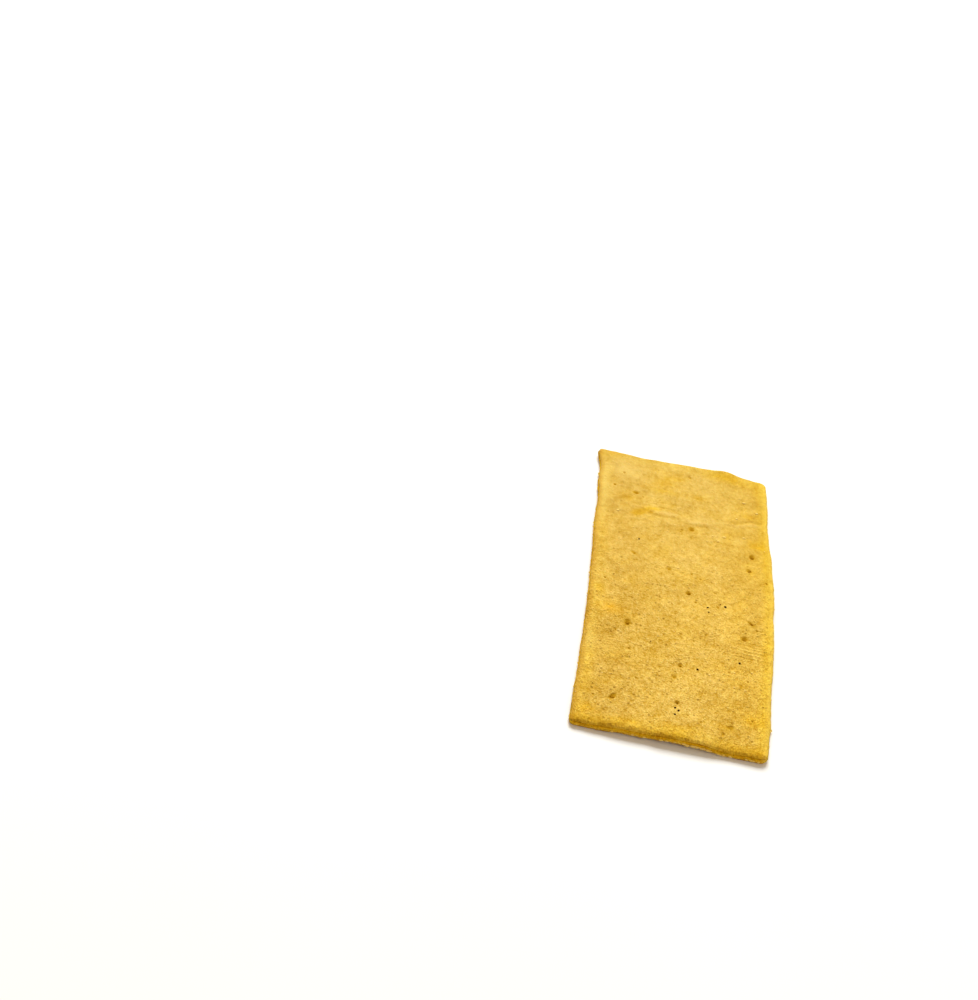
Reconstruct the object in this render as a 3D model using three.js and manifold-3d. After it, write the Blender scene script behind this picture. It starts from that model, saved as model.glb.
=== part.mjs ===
// A thin, oblong spelt cracker: one sheet of baked dough with a rounded upper rim, a parting line round
// its side, a gently crowned and buckled face, low blisters and the blind marks of the docking pins.
// Millimetres. X runs across the cracker, Y along it and Z up. It rests on the flat parts of its underside.

import * as THREE from 'three';
import { mergeVertices } from 'three/addons/utils/BufferGeometryUtils.js';
import Module from 'manifold-3d';

// Driving dimensions
const LENGTH = 110;
const WIDTH = 47;
const THICKNESS = 2.3;
const LEFT_CORNER_RADIUS = 1.1;
const RIGHT_CORNER_RADIUS = 1.9;

// Outline: the sheet is cut slightly banana-shaped, a little wider at its middle, with uneven sides
const SIDE_BOW = 1.7;
const BARREL = 0.2;
const EDGE_WAVE = 0.06;
const EDGE_WAVELENGTH = 21;

// Where a long side, -1 left or 1 right, is pressed in or stands out, fading over the sheet by this power
const DENT_FADE = 3;
const SIDE_DENTS = [
  { side: 1, y: 36, out: -0.4, along: 3 },
  { side: 1, y: 28.5, out: -0.6, along: 6.5 },
  { side: 1, y: 21.5, out: 0.25, along: 2 },
  { side: 1, y: -1, out: 0.15, along: 8 },
  { side: 1, y: -2.5, out: -0.3, along: 2.5 },
  { side: 1, y: -29, out: -0.3, along: 6 },
  { side: 1, y: -42.5, out: 0.25, along: 2 },
  { side: -1, y: 48.6, out: -0.9, along: 4.1 },
  { side: -1, y: 34.8, out: -0.7, along: 5 },
  { side: -1, y: -40, out: 0.15, along: 8 },
];

// Rims and side wall
const TOP_ROUND_IN = 0.9;
const TOP_ROUND_DOWN = 0.65;
const BOTTOM_ROUND = 0.4;
const WALL_BULGE = 0.12;
const SEAM_LEVEL = 0.88;
const SEAM_DEPTH = 0.14;
const SEAM_SPREAD = 0.08;
const SEAM_WANDER = 0.12;
const WALL_ROUGHNESS = 0.07;
const WALL_WAVELENGTH = 7;

// Warp of the whole sheet, and how much of its low places is baked flat against the tray
const CROWN = 0.6;
const ARCH = 0.25;
const FLATTENED = 0.25;

// Unevenness of the faces
const LUMP_HEIGHT = 0.09;
const LUMP_WAVELENGTH = 17;
const RIPPLE_HEIGHT = 0.045;
const RIPPLE_WAVELENGTH = 7;

// Places where the whole sheet buckles up or down
const BUCKLES = [
  { x: 11.8, y: 57, height: 1.15, across: 2.9, along: 7 },
  { x: -9.5, y: 57, height: -0.45, across: 4, along: 7 },
  { x: -22, y: 57, height: 0.35, across: 4.5, along: 5 },
  { x: -1, y: 57, height: 0.25, across: 2, along: 5 },
  { x: 22.5, y: 57, height: 0.15, across: 1.5, along: 4 },
  { x: 3.5, y: -57, height: 0.55, across: 6, along: 8 },
  { x: 14.5, y: -56, height: -0.3, across: 3.5, along: 6 },
];

// Low blisters and a shallow hollow, in the upper face alone
const BLISTERS = [
  { x: -17.4, y: -16.4, height: 0.34, across: 2.5, along: 3.2 },
  { x: -15.4, y: -33.4, height: 0.16, across: 4.5, along: 4 },
  { x: 18.3, y: 36.6, height: 0.17, across: 3, along: 2.2 },
  { x: 18, y: 23.4, height: 0.2, across: 2.8, along: 2.2 },
  { x: 6.5, y: -14, height: 0.14, across: 4, along: 3 },
  { x: -9, y: 43, height: 0.16, across: 6, along: 3 },
  { x: 3, y: 11, height: 0.12, across: 6, along: 5 },
  { x: -11.4, y: 29.1, height: -0.14, across: 2.4, along: 1 },
];

// Creases across the upper face, each with a raised lip on its far side, 1, or its near side, -1. y is where
// the crease's line crosses the middle, and the crease fades out over FADE at both ends. The lip's offset and
// spread are in crease widths
const CREASE_FADE = 2;
const LIP_OFFSET = 2;
const LIP_SPREAD = 1.5;
const CREASE_WANDER = 0.25;
const CREASE_WAVELENGTH = 8;
const CREASES = [
  { fromX: -9, toX: -1, y: 29.6, slope: 0.02, depth: 0.1, width: 0.6, lip: 0.1, lipSide: 1 },
  { fromX: 0, toX: 8, y: 28.2, slope: 0.05, depth: 0.08, width: 0.6, lip: 0.08, lipSide: 1 },
  { fromX: 12, toX: 22, y: 28.6, slope: 0.34, depth: 0.09, width: 0.7, lip: 0.1, lipSide: -1 },
];

// Blind marks of the docking pins: mouth radius and depth, with some marks drawn out by stretch and turn
const MARK_SIDES = 10;
const MARK_TAPER = 0.5;
const MARK_CLEARANCE = 0.6;
const MARKS = [
  { x: -13.2, y: 37.6, radius: 0.7, depth: 0.35, stretch: 1.6, turn: 0 },
  { x: -13.2, y: 11.4, radius: 0.55, depth: 0.35, stretch: 1.8, turn: -0.7 },
  { x: -13.4, y: -16.9, radius: 0.76, depth: 0.7, stretch: 1.8, turn: 1.5 },
  { x: -14.7, y: -44.8, radius: 0.66, depth: 0.65, stretch: 2.2, turn: 0.95 },
  { x: 1.8, y: 26.2, radius: 0.82, depth: 0.45, stretch: 1.5, turn: 1.4 },
  { x: 1.3, y: -0.8, radius: 0.68, depth: 0.65, stretch: 1.3, turn: 1.5 },
  { x: 0.5, y: -28.9, radius: 0.5, depth: 0.55, stretch: 1.9, turn: 1.5 },
  { x: -0.8, y: -33.5, radius: 0.75, depth: 0.35, stretch: 1.5, turn: 1.7 },
  { x: 17.8, y: 19.9, radius: 0.8, depth: 0.65, stretch: 1.4, turn: 1.4 },
  { x: 17, y: 13.9, radius: 0.68, depth: 0.5, stretch: 1.1, turn: 1.5 },
  { x: 15.8, y: -13.8, radius: 0.78, depth: 0.65, stretch: 1.5, turn: 1.2 },
  { x: 17.4, y: -7.4, radius: 0.42, depth: 0.55, stretch: 3.2, turn: -0.75 },
  { x: 13.8, y: -47.2, radius: 0.7, depth: 0.35, stretch: 1.7, turn: 0.3 },
  { x: 18.9, y: -43, radius: 0.4, depth: 0.35, stretch: 1, turn: 0 },
  { x: 0.6, y: -42.7, radius: 0.52, depth: 0.6, stretch: 1.1, turn: 0 },
  { x: -3.9, y: 7.6, radius: 0.72, depth: 0.3, stretch: 1.3, turn: 1.5 },
];

// Fineness: rows close together over the rim, then even ones, and the side wall's rows from foot to top
const RIM_STEPS = [0, 0.12, 0.4, 0.9, 1.8];
const GRID_SPACING = 2;
const WALL_LEVELS = [0, 0.2, 0.45, 0.65, 0.78, 0.88, 1];
const MERGE_TOLERANCE = 1e-4;

const HALF_LENGTH = LENGTH / 2;
const HALF_WIDTH = WIDTH / 2;

// The waves of the unevenness, and a seed for each use of it
const GOLDEN_ANGLE = Math.PI * (3 - Math.sqrt(5));
const WAVES = 7;
const WAVE_STEP = 0.13;
const PHASE_STEP = 1.7;
const SEED = { lumps: 1, ripples: 2, wall: 3, sides: 4, ends: 5, seam: 6, creases: 7 };

const CRUST = new THREE.MeshStandardMaterial({ color: 0xe2b04a, roughness: 0.85, metalness: 0 });

// Waves in spread directions add up to a gentle unevenness, about -1.5 to 1.5
function unevenness(x, y, wavelength, seed) {
  let sum = 0;
  for (let wave = 0; wave < WAVES; wave += 1) {
    const heading = seed + wave * GOLDEN_ANGLE;
    const along = x * Math.cos(heading) + y * Math.sin(heading);
    const turns = (along * (1 + WAVE_STEP * wave)) / wavelength;
    sum += Math.sin(2 * Math.PI * turns + seed * PHASE_STEP * (wave + 1));
  }
  return sum / Math.sqrt(WAVES);
}

// A smooth swelling, highest at its own centre
function swell(x, y, spot) {
  const across = (x - spot.x) / spot.across;
  const along = (y - spot.y) / spot.along;
  return spot.height * Math.exp(-(across * across + along * along) / 2);
}

function swells(x, y, spots) {
  return spots.reduce((sum, spot) => sum + swell(x, y, spot), 0);
}

// 0 at and below the first value, 1 at and above the second, smooth between
function smoothStep(low, high, value) {
  const part = Math.min(Math.max((value - low) / (high - low), 0), 1);
  return part * part * (3 - 2 * part);
}

function creaseHeight(x, y, crease) {
  const wander = CREASE_WANDER * unevenness(x, y, CREASE_WAVELENGTH, SEED.creases);
  const offset = y - (crease.y + crease.slope * x + wander);
  const begin = smoothStep(crease.fromX - CREASE_FADE, crease.fromX + CREASE_FADE, x);
  const end = smoothStep(crease.toX + CREASE_FADE, crease.toX - CREASE_FADE, x);
  const fold = crease.depth * Math.exp(-((offset / crease.width) ** 2));
  const fromLip = offset / crease.width - crease.lipSide * LIP_OFFSET;
  const lip = crease.lip * Math.exp(-((fromLip / LIP_SPREAD) ** 2));
  return begin * end * (lip - fold);
}

// How far the sheet stands off the tray before its low places are flattened
function lift(x, y) {
  const t = x / HALF_WIDTH;
  const s = y / HALF_LENGTH;
  const bend = CROWN * (1 - t * t) + ARCH * (1 - s * s);
  return bend + swells(x, y, BUCKLES) + LUMP_HEIGHT * unevenness(x, y, LUMP_WAVELENGTH, SEED.lumps);
}

function underside(x, y) {
  return Math.max(0, lift(x, y) - FLATTENED);
}

function upperFace(x, y) {
  const creases = CREASES.reduce((sum, crease) => sum + creaseHeight(x, y, crease), 0);
  const ripples = RIPPLE_HEIGHT * unevenness(x, y, RIPPLE_WAVELENGTH, SEED.ripples);
  return THICKNESS - FLATTENED + lift(x, y) + swells(x, y, BLISTERS) + creases + ripples;
}

// Rounds the corners of the rectangle: returns the moved point, its distance from the outline and the
// outward direction that it has on the outline
function roundCorner(u, v) {
  const radius = u < 0 ? LEFT_CORNER_RADIUS : RIGHT_CORNER_RADIUS;
  const reachX = Math.abs(u) - (HALF_WIDTH - radius);
  const reachY = Math.abs(v) - (HALF_LENGTH - radius);
  const signX = Math.sign(u);
  const signY = Math.sign(v);
  const reach = Math.max(reachX, reachY);
  const depth = radius - reach;
  if (reachX <= 0 || reachY <= 0) {
    const outX = reachX > reachY ? signX : 0;
    const outY = reachX > reachY ? 0 : signY;
    return { x: u, y: v, depth, outX, outY };
  }
  const diagonal = Math.hypot(reachX, reachY);
  const outX = (signX * reachX) / diagonal;
  const outY = (signY * reachY) / diagonal;
  return {
    x: u - signX * reachX + outX * reach,
    y: v - signY * reachY + outY * reach,
    depth,
    outX,
    outY,
  };
}

// Quarter-ellipse drop from a face to its rim
function rimDrop(depth, inward, down) {
  if (depth >= inward) {
    return 0;
  }
  const part = Math.min(1 - depth / inward, 1);
  return down * (1 - Math.sqrt(1 - part * part));
}

// How far the side wall stands out at a level from 0, its foot, to 1, its top
function wallOutset(x, y, level) {
  const bulge = WALL_BULGE * Math.sin(Math.PI * level);
  const seam = SEAM_DEPTH * Math.exp(-(((level - SEAM_LEVEL) / SEAM_SPREAD) ** 2));
  return bulge - seam + WALL_ROUGHNESS * unevenness(x, y, WALL_WAVELENGTH, SEED.wall + level);
}

// Sideways shift by the dents of the nearer long side, fading towards the middle of the sheet
function dentShift(x, y) {
  return SIDE_DENTS.reduce((sum, dent) => {
    const nearness = Math.max((dent.side * x) / HALF_WIDTH, 0) ** DENT_FADE;
    const along = (y - dent.y) / dent.along;
    return sum + dent.side * dent.out * nearness * Math.exp((-along * along) / 2);
  }, 0);
}

// Bends the straight outline into its bowed, uneven one
function bendPlan(x, y) {
  const t = x / HALF_WIDTH;
  const s = y / HALF_LENGTH;
  const bow = (SIDE_BOW + BARREL * t) * (1 - s * s);
  const sideWave = EDGE_WAVE * Math.abs(t) * unevenness(x, y, EDGE_WAVELENGTH, SEED.sides);
  const endWave = EDGE_WAVE * Math.abs(s) * unevenness(x, y, EDGE_WAVELENGTH, SEED.ends);
  return [x + bow + sideWave + dentShift(x, y), y + endWave];
}

// A point of the skin from its place (u, v) in the rectangle and its level between the faces
function skinPoint(u, v, level) {
  const spot = roundCorner(u, v);
  const foot = underside(spot.x, spot.y) + rimDrop(spot.depth, BOTTOM_ROUND, BOTTOM_ROUND);
  const top = upperFace(spot.x, spot.y) - rimDrop(spot.depth, TOP_ROUND_IN, TOP_ROUND_DOWN);
  const wander = SEAM_WANDER * unevenness(spot.x, spot.y, EDGE_WAVELENGTH, SEED.seam);
  const shifted = level + wander * level * (1 - level) * 4;
  const outset = level > 0 && level < 1 ? wallOutset(spot.x, spot.y, level) : 0;
  const [x, y] = bendPlan(spot.x + spot.outX * outset, spot.y + spot.outY * outset);
  return [x, y, foot + (top - foot) * shifted];
}

// Line positions across one direction of the rectangle, mirrored about its middle
function gridLines(half) {
  const rim = RIM_STEPS.map((step) => half - step);
  const inner = rim[rim.length - 1];
  const count = Math.round((2 * inner) / GRID_SPACING);
  const even = Array.from({ length: count - 1 }, (_, index) => -inner + (2 * inner * (index + 1)) / count);
  return [...rim.map((place) => -place), ...even, ...rim.reverse()];
}

// The whole skin: a gridded box whose points are moved onto the cracker's surface
function sheetGeometry() {
  const columns = gridLines(HALF_WIDTH);
  const rows = gridLines(HALF_LENGTH);
  const lastColumn = columns.length - 1;
  const lastRow = rows.length - 1;
  const lastLevel = WALL_LEVELS.length - 1;
  const box = new THREE.BoxGeometry(lastColumn, lastRow, lastLevel, lastColumn, lastRow, lastLevel);
  box.translate(lastColumn / 2, lastRow / 2, lastLevel / 2);
  const place = box.attributes.position;
  for (let index = 0; index < place.count; index += 1) {
    const u = columns[Math.round(place.getX(index))];
    const v = rows[Math.round(place.getY(index))];
    const level = WALL_LEVELS[Math.round(place.getZ(index))];
    place.setXYZ(index, ...skinPoint(u, v, level));
  }
  return box;
}

// A tapered plug that cuts one pin mark down from the upper face
function markGeometry(mark) {
  const height = mark.depth + MARK_CLEARANCE;
  const slant = (mark.radius * (1 - MARK_TAPER)) / mark.depth;
  const mouth = mark.radius + slant * MARK_CLEARANCE;
  const plug = new THREE.CylinderGeometry(mouth, mark.radius * MARK_TAPER, height, MARK_SIDES);
  plug.rotateX(Math.PI / 2);
  plug.scale(mark.stretch, 1, 1);
  plug.rotateZ(mark.turn);
  const [x, y] = bendPlan(mark.x, mark.y);
  plug.translate(x, y, upperFace(mark.x, mark.y) + MARK_CLEARANCE - height / 2);
  return plug;
}

function solidOf(wasm, geometry) {
  const bare = geometry.clone();
  bare.deleteAttribute('normal');
  bare.deleteAttribute('uv');
  const merged = mergeVertices(bare, MERGE_TOLERANCE);
  const mesh = new wasm.Mesh({
    numProp: 3,
    vertProperties: new Float32Array(merged.attributes.position.array),
    triVerts: new Uint32Array(merged.index.array),
  });
  return new wasm.Manifold(mesh);
}

function geometryOf(solid) {
  const mesh = solid.getMesh();
  const geometry = new THREE.BufferGeometry();
  geometry.setAttribute('position', new THREE.BufferAttribute(mesh.vertProperties, 3));
  geometry.setIndex(new THREE.BufferAttribute(mesh.triVerts, 1));
  geometry.computeVertexNormals();
  return geometry;
}

// The origin is under the middle of the cracker, on the plane that it rests on
function standOnOrigin(geometry) {
  geometry.computeBoundingBox();
  const { min, max } = geometry.boundingBox;
  geometry.translate(-(min.x + max.x) / 2, -(min.y + max.y) / 2, -min.z);
}

async function crackerMesh() {
  const wasm = await Module();
  wasm.setup();
  let sheet = solidOf(wasm, sheetGeometry());
  for (const mark of MARKS) {
    sheet = sheet.subtract(solidOf(wasm, markGeometry(mark)));
  }
  const geometry = geometryOf(sheet);
  standOnOrigin(geometry);
  const mesh = new THREE.Mesh(geometry, CRUST);
  mesh.name = 'cracker';
  return mesh;
}

const cracker = new THREE.Group();
cracker.add(await crackerMesh());

export default cracker;
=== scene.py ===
"""A thin, oblong spelt cracker on a plain pale floor, in soft studio light.

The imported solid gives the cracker's place and box. A finer skin of the same form stands for it, with
sandy grain, pin marks, a crumbly side wall and browned patches. Bran specks and clinging crumbs are
pieces of their own. Shapes are worked out in millimetres in the flat sheet's own plan, with x across it
and y along it towards the buckled far end, and turned into metres at the end.
"""

import itertools
import math

import bmesh
import bpy
import numpy as np
from mathutils import Matrix, Vector


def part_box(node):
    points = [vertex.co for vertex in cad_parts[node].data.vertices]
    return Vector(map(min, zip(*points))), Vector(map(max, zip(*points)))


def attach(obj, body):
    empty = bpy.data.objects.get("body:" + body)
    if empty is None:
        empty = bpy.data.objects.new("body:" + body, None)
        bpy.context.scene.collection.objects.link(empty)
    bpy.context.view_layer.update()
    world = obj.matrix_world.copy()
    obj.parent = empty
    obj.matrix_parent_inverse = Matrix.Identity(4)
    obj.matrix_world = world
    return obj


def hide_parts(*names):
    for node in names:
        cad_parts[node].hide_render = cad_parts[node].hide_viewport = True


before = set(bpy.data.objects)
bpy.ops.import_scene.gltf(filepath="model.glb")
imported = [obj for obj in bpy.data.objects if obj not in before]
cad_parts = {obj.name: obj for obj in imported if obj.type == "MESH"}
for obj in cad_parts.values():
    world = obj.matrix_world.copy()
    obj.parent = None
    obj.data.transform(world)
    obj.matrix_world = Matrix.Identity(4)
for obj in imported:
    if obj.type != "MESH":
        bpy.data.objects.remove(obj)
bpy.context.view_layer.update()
NODE_LOW, NODE_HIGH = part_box("cracker")
MM = 0.001

# Driving dimensions of the sheet
LENGTH = 110
WIDTH = 47
THICKNESS = 2.3
HALF_LENGTH = LENGTH / 2
HALF_WIDTH = WIDTH / 2
LEFT_CORNER_RADIUS = 1.1
RIGHT_CORNER_RADIUS = 1.9

# Outline
SIDE_BOW = 1.7
BARREL = 0.2
EDGE_WAVE = 0.06
EDGE_WAVELENGTH = 21
# Dents and bulges of the long sides: side (-1 left, 1 right), y, how far out, reach along
DENT_FADE = 3
SIDE_DENTS = [
    (1, 36, -0.4, 3),
    (1, 28.5, -0.6, 6.5),
    (1, 21.5, 0.25, 2),
    (1, -1, 0.15, 8),
    (1, -2.5, -0.3, 2.5),
    (1, -29, -0.3, 6),
    (1, -42.5, 0.25, 2),
    (-1, 48.6, -0.9, 4.1),
    (-1, 34.8, -0.7, 5),
    (-1, -40, 0.15, 8),
]

# Rims and side wall
TOP_ROUND_IN = 0.9
TOP_ROUND_DOWN = 0.65
BOTTOM_ROUND = 0.4
WALL_BULGE = 0.12
SEAM_LEVEL = 0.88
SEAM_DEPTH = 0.14
SEAM_SPREAD = 0.08
SEAM_WANDER = 0.12
WALL_ROUGHNESS = 0.07
WALL_WAVELENGTH = 7

# Warp of the whole sheet
CROWN = 0.6
ARCH = 0.25
FLATTENED = 0.25
LUMP_HEIGHT = 0.09
LUMP_WAVELENGTH = 17
RIPPLE_HEIGHT = 0.045
RIPPLE_WAVELENGTH = 7

# Swellings: x, y, height, reach across, reach along
BUCKLES = [
    (11.8, 57, 1.15, 2.9, 7),
    (-9.5, 57, -0.45, 4, 7),
    (-22, 57, 0.35, 4.5, 5),
    (-1, 57, 0.25, 2, 5),
    (22.5, 57, 0.15, 1.5, 4),
    (3.5, -57, 0.55, 6, 8),
    (14.5, -56, -0.3, 3.5, 6),
]
BLISTERS = [
    (-17.4, -16.4, 0.34, 2.5, 3.2),
    (-15.4, -33.4, 0.16, 4.5, 4),
    (18.3, 36.6, 0.17, 3, 2.2),
    (18, 23.4, 0.2, 2.8, 2.2),
    (6.5, -14, 0.14, 4, 3),
    (-9, 43, 0.16, 6, 3),
    (3, 11, 0.12, 6, 5),
    (-11.4, 29.1, -0.14, 2.4, 1),
]

# Creases: from x, to x, y at x = 0, slope, depth, width, lip, side of the lip (1 far, -1 near)
CREASE_FADE = 2
LIP_OFFSET = 2
LIP_SPREAD = 1.5
CREASE_WANDER = 0.25
CREASE_WAVELENGTH = 8
CREASES = [
    (-9, -1, 29.6, 0.02, 0.1, 0.6, 0.1, 1),
    (0, 8, 28.2, 0.05, 0.08, 0.6, 0.08, 1),
    (12, 22, 28.6, 0.34, 0.09, 0.7, 0.1, -1),
]

# Profile of a mark, with distances in its half widths: the slope's share of the depth, of which the pin hole
# beside the middle has the rest, and the distances at which slope and pin hole begin and are full
MARK_SLOPE = 0.55
MARK_SLOPE_ENDS = (1.2, 0.2)
PIN_ENDS = (0.95, 0)
PIN_SHIFT_X = 0.3
PIN_SHIFT_Y = -0.45
# The shallow dish round it
MARK_DISH = 0.07
DISH_REACH = 2
# How dark it is, from toasting and painted shade: the shares of the slope and of a toasted haze round it, and
# the pin hole, in painted shade, has the rest
SLOPE_DARKENING = 0.5
SLOPE_DARKENING_ENDS = (1.3, 0.4)
PIN_SHADE_ENDS = (1, 0.2)
HAZE = 0.2
HAZE_REACH = 1.8

# Pin marks: x, y, half width, depth, stretch, turn, how dark they are, toasted and in painted shade
MARKS = [
    (-13.2, 37.6, 0.7, 0.35, 1.6, 0, 0.75),
    (-13.2, 11.4, 0.55, 0.35, 1.8, -0.7, 0.65),
    (-13.4, -16.9, 0.76, 0.7, 1.8, 1.5, 1),
    (-14.7, -44.8, 0.66, 0.65, 2.2, 0.95, 0.95),
    (1.8, 26.2, 0.82, 0.45, 1.5, 1.4, 0.85),
    (1.3, -0.8, 0.68, 0.65, 1.3, 1.5, 1),
    (0.5, -28.9, 0.5, 0.55, 1.9, 1.5, 0.8),
    (-0.8, -33.5, 0.75, 0.35, 1.5, 1.7, 0.55),
    (17.8, 19.9, 0.8, 0.65, 1.4, 1.4, 1),
    (17, 13.9, 0.68, 0.5, 1.1, 1.5, 0.85),
    (15.8, -13.8, 0.78, 0.65, 1.5, 1.2, 0.95),
    (17.4, -7.4, 0.42, 0.55, 3.2, -0.75, 0.9),
    (13.8, -47.2, 0.7, 0.35, 1.7, 0.3, 0.75),
    (18.9, -43, 0.4, 0.35, 1, 0, 0.6),
    (0.6, -42.7, 0.52, 0.6, 1.1, 0, 1),
    (-3.9, 7.6, 0.72, 0.3, 1.3, 1.5, 0.55),
]

# Pinholes: x, y, radius, how dark they are, toasted and in painted shade
PINHOLE_DEPTH = 0.3
PINHOLES = [
    (-19.1, 39.6, 0.36, 1),
    (-11.2, 36.2, 0.32, 0.5),
    (-16.5, 45.5, 0.5, 0.35),
    (1.8, 49.3, 0.55, 0.4),
    (-0.7, 25, 0.35, 0.4),
    (8.8, 23.3, 0.4, 0.4),
    (21.6, 10.4, 0.36, 0.8),
    (2, 7.2, 0.34, 0.6),
    (4.2, 5.9, 0.4, 0.4),
    (8, 1.5, 0.32, 0.5),
    (-20, -0.8, 0.34, 0.6),
    (3.2, -3.9, 0.34, 0.8),
    (8.9, -4, 0.45, 0.6),
    (-1.8, -10, 0.3, 0.6),
    (18.9, -9.5, 0.32, 0.7),
    (6.2, -15.6, 0.5, 0.5),
    (3.3, -18.9, 0.3, 0.7),
    (-18.3, -19.7, 0.28, 0.6),
    (-16.2, -20.4, 0.35, 0.7),
    (-16.9, -22.4, 0.42, 0.5),
    (-12.3, -26.5, 0.38, 0.7),
    (12.5, -27.7, 0.36, 0.5),
    (-12.6, -30, 0.34, 0.5),
    (-4.5, -31, 0.3, 0.7),
    (15.7, -31.8, 0.38, 0.6),
    (17.3, -29.5, 0.34, 0.5),
    (-9.8, -36.7, 0.36, 0.7),
    (-6.5, -36.6, 0.3, 0.5),
    (7, -37.1, 0.45, 0.4),
    (-19.2, -45.4, 0.34, 0.5),
    (3.4, -46.4, 0.3, 0.6),
    (6.7, -47.9, 0.34, 0.7),
    (-11.3, -48.6, 0.4, 0.5),
    (12.3, -50, 0.42, 0.6),
]

# Darker browned places of the upper face: x, y, strength, reach across, reach along
BROWNED_PLACES = [
    (-20, 54.2, 0.45, 3, 0.6),
    (-5, 43.6, 0.8, 1.6, 1),
    (-10.8, 41, 0.8, 1.6, 0.9),
    (4.2, 41, 0.8, 0.9, 1.1),
    (21.6, 44, 0.4, 1.2, 6),
    (-12.6, 29.2, 1.2, 1.6, 0.8),
    (-10.2, 30.6, 1.2, 1.4, 0.8),
    (-15.8, 35, 0.8, 1.7, 0.9),
    (18, 37, 0.7, 1.2, 1.2),
    (20.4, 44.2, 0.7, 1, 1.3),
    (12.2, 27.2, 0.5, 0.8, 0.8),
    (12.4, 51.8, 0.5, 3, 1.3),
    (18.4, 24.8, 0.6, 1.4, 0.9),
    (-5.5, 15.5, 0.4, 1.5, 0.9),
    (-12, 5.4, 0.4, 2.2, 0.8),
    (8.8, -4, 0.7, 1.2, 0.8),
    (15.2, -5.2, 0.5, 0.8, 0.5),
    (-8.5, -11, 0.4, 3, 1),
    (-0.5, -13.2, 0.4, 1.2, 0.8),
    (5, -17.4, 0.6, 1.5, 1.6),
    (6.2, -15.6, 0.6, 0.6, 0.6),
    (-19.5, -20, 0.5, 1.6, 1),
    (-16.8, -22, 0.7, 0.9, 1.2),
    (-14, -33, 0.4, 1.6, 1.2),
    (6, -38, 0.35, 2.4, 1.2),
    (8.6, -41, 0.5, 0.8, 0.7),
    (12, -48.8, 0.7, 1.4, 0.9),
    (-11.3, -48.8, 0.6, 0.6, 1),
]

# Deeper golden places of the upper face: x, y, strength, reach across, reach along
GOLDEN_PLACES = [
    (12.4, 51.8, 1.2, 3.4, 1.5),
    (20.5, 51, 0.35, 2, 1.4),
    (-21, 53, 0.8, 2, 0.9),
    (-13.2, 28.2, 1.3, 0.9, 0.7),
    (-12.2, 29.4, 1.1, 1, 0.7),
    (-10.4, 30.4, 1.1, 1.2, 0.7),
    (-8.6, 31.4, 1.2, 1.2, 0.8),
    (-5, 44.4, 0.8, 2, 1.8),
    (-2, 47, 0.8, 1.8, 0.8),
    (-5, 40.2, 0.6, 3, 1),
    (4.3, 40.8, 0.7, 1.2, 1),
    (-15.5, 34.8, 0.6, 2.2, 1.1),
    (18.4, 37.2, 0.6, 1.6, 1.2),
    (21.4, 44, 0.2, 1.3, 6),
    (18.6, 25, 1.3, 1.6, 1),
    (11.8, 26.2, 0.5, 1.4, 1.2),
    (17.4, 13.4, 0.5, 1, 1),
    (4.6, 5.8, 0.4, 1.2, 0.8),
    (19, 18, 0.3, 1.6, 6),
    (21.8, 21, 0.4, 0.9, 6),
    (22, -15, 0.35, 0.9, 4),
    (22, -42, 0.35, 0.9, 3),
    (-21.5, -32, 0.5, 1.3, 9),
    (-17.6, -12.6, 0.7, 2.4, 2.4),
    (-21, -5, 0.4, 1, 1.6),
    (-16, -29.6, 0.5, 2.4, 2),
    (18.8, -43, 0.9, 1.8, 1.9),
    (13, -47.6, 0.6, 1.4, 0.8),
    (-20.4, -50.6, 0.9, 2, 1.2),
    (-10, -52.4, 0.6, 4, 0.9),
    (1.5, -51.6, 0.7, 3.4, 1),
]

# Places baked orange: x, y, strength, reach across, reach along
ORANGE_PLACES = [
    (-19.5, 54, 0.8, 3, 0.7),
    (-17.6, -12.8, 0.9, 1.5, 1.5),
    (-20.4, -51, 0.5, 1.6, 1),
    (21.4, 44.5, 0.1, 1, 3),
    (18.8, -43, 0.3, 1.2, 1.2),
]

# Finely wrinkled places: x, y, strength, reach across, reach along
WRINKLED_PLACES = [
    (17.5, -19, 1, 3, 3),
    (-4, 33.5, 0.25, 5, 1.5),
]
WRINKLE_SPACING = 0.9
WRINKLE_MIDDLE = 0.6
WRINKLE_STRENGTH = 0.45
WAVE_NODE_RATE = 20

# The crust grows smoother from one y to another, and by how much its lines, dots and holes fade there; the
# same stretch is darkened with painted shade
CALM_FROM = -30
CALM_TO = 50
CALM_SHARE = 0.7

# How far in from the front rim the crust is darker and more golden, and where the border's tint ends and is
# full
FRONT_REACH = 3.4
BORDER_ENDS = (5, 1.2)

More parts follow.
